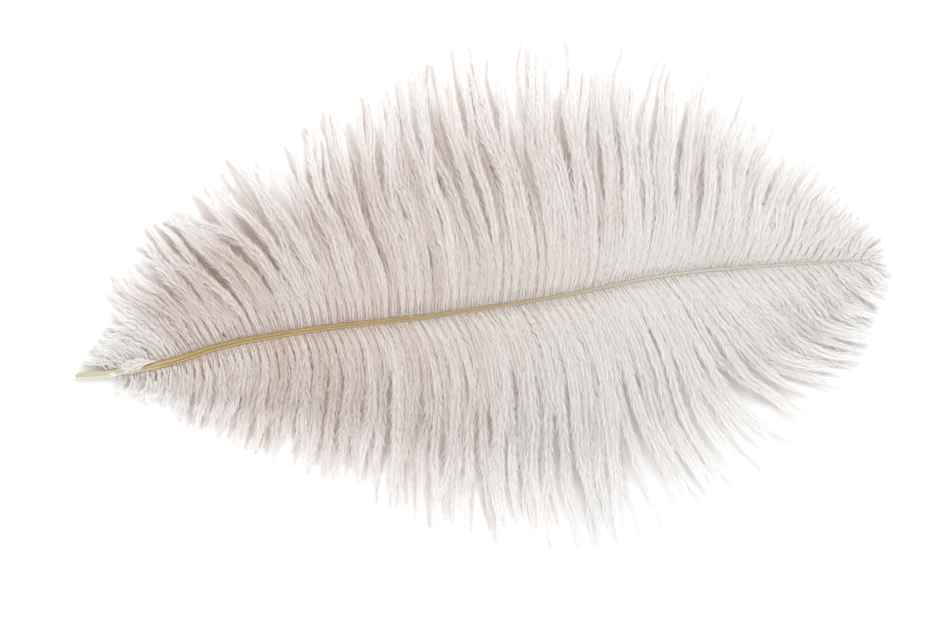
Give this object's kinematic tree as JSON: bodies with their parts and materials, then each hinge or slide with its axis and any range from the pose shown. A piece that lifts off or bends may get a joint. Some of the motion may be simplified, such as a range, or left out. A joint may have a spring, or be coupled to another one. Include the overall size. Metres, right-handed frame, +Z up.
{
  "type": "ostrich feather",
  "caption": "Short white ostrich plume lying flat: an arched golden shaft with soft, loose barbs in wisps on both sides and down round the quill.",
  "frame": {"origin": "on the surface the feather lies on, under the middle of its box", "axes": "+X along the shaft from the open end of the quill to the tip, +Y towards the feather's left vane, +Z up"},
  "size_m": [0.1998, 0.1242, 0.0144],
  "materials": {
    "shaft": "satin",
    "barbs": "matte",
    "down": "matte"
  },
  "bodies": {
    "root": {"shaft": "shaft", "left_vane": "barbs", "right_vane": "barbs", "left_down": "down", "right_down": "down"}
  },
  "joints": []
}
